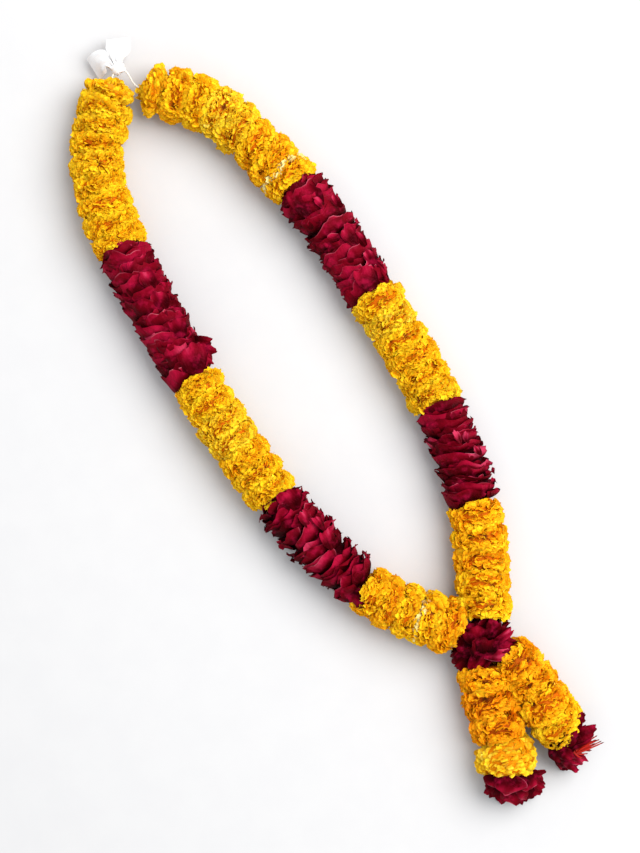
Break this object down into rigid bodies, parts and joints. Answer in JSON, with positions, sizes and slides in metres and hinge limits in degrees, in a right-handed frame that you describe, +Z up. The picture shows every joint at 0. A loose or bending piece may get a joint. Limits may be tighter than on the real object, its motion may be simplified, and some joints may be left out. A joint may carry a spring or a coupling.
{
  "type": "marigold garland",
  "caption": "Long loop of threaded marigold heads and packed rose petals, gathered at a joining rose above short tassels that end in roses, laid flat, with a white ribbon at the neck.",
  "frame": {"origin": "bottom centre of the whole garland's bounding box, on the surface that it lies on", "axes": "+Y along the garland from the tassels to the neck, +X across it from the left strand to the right one, +Z up from the surface"},
  "size_m": [0.2212, 0.7762, 0.0492],
  "materials": {
    "marigold": "soft matt ruffled petals, golden yellow to orange, darker and more orange at their roots",
    "rose": "velvety crimson petals with a soft magenta sheen and paler rims",
    "filament": "satin red with small dark tips",
    "string": "matt undyed twisted cotton",
    "ribbon": "white satin with fine ribs across"
  },
  "bodies": {
    "root": {"left_marigold_01": "marigold", "left_marigold_02": "marigold", "left_marigold_03": "marigold", "left_marigold_04": "marigold", "left_marigold_05": "marigold", "left_marigold_06": "marigold", "left_marigold_07": "marigold", "left_marigold_08": "marigold", "left_marigold_09": "marigold", "left_rose_upper": "rose", "left_marigold_10": "marigold", "left_marigold_11": "marigold", "left_marigold_12": "marigold", "left_marigold_13": "marigold", "left_marigold_14": "marigold", "left_marigold_15": "marigold", "left_marigold_16": "marigold", "left_rose_lower": "rose", "left_marigold_17": "marigold", "left_marigold_18": "marigold", "left_marigold_19": "marigold", "left_marigold_20": "marigold", "left_marigold_21": "marigold", "joining_rose": "rose", "left_tassel_marigold_01": "marigold", "left_tassel_marigold_02": "marigold", "left_tassel_marigold_03": "marigold", "left_tassel_marigold_04": "marigold", "left_end_rose": "rose", "right_marigold_01": "marigold", "right_marigold_02": "marigold", "right_marigold_03": "marigold", "right_marigold_04": "marigold", "right_marigold_05": "marigold", "right_marigold_06": "marigold", "right_marigold_07": "marigold", "right_marigold_08": "marigold", "right_rose_upper": "rose", "right_marigold_09": "marigold", "right_marigold_10": "marigold", "right_marigold_11": "marigold", "right_marigold_12": "marigold", "right_marigold_13": "marigold", "right_marigold_14": "marigold", "right_rose_lower": "rose", "right_marigold_15": "marigold", "right_marigold_16": "marigold", "right_marigold_17": "marigold", "right_marigold_18": "marigold", "right_marigold_19": "marigold", "right_tassel_marigold_01": "marigold", "right_tassel_marigold_02": "marigold", "right_tassel_marigold_03": "marigold", "right_tassel_marigold_04": "marigold", "right_end_rose": "rose", "end_rose_filaments": "filament", "string": "string", "neck_ribbon": "ribbon"}
  },
  "joints": []
}
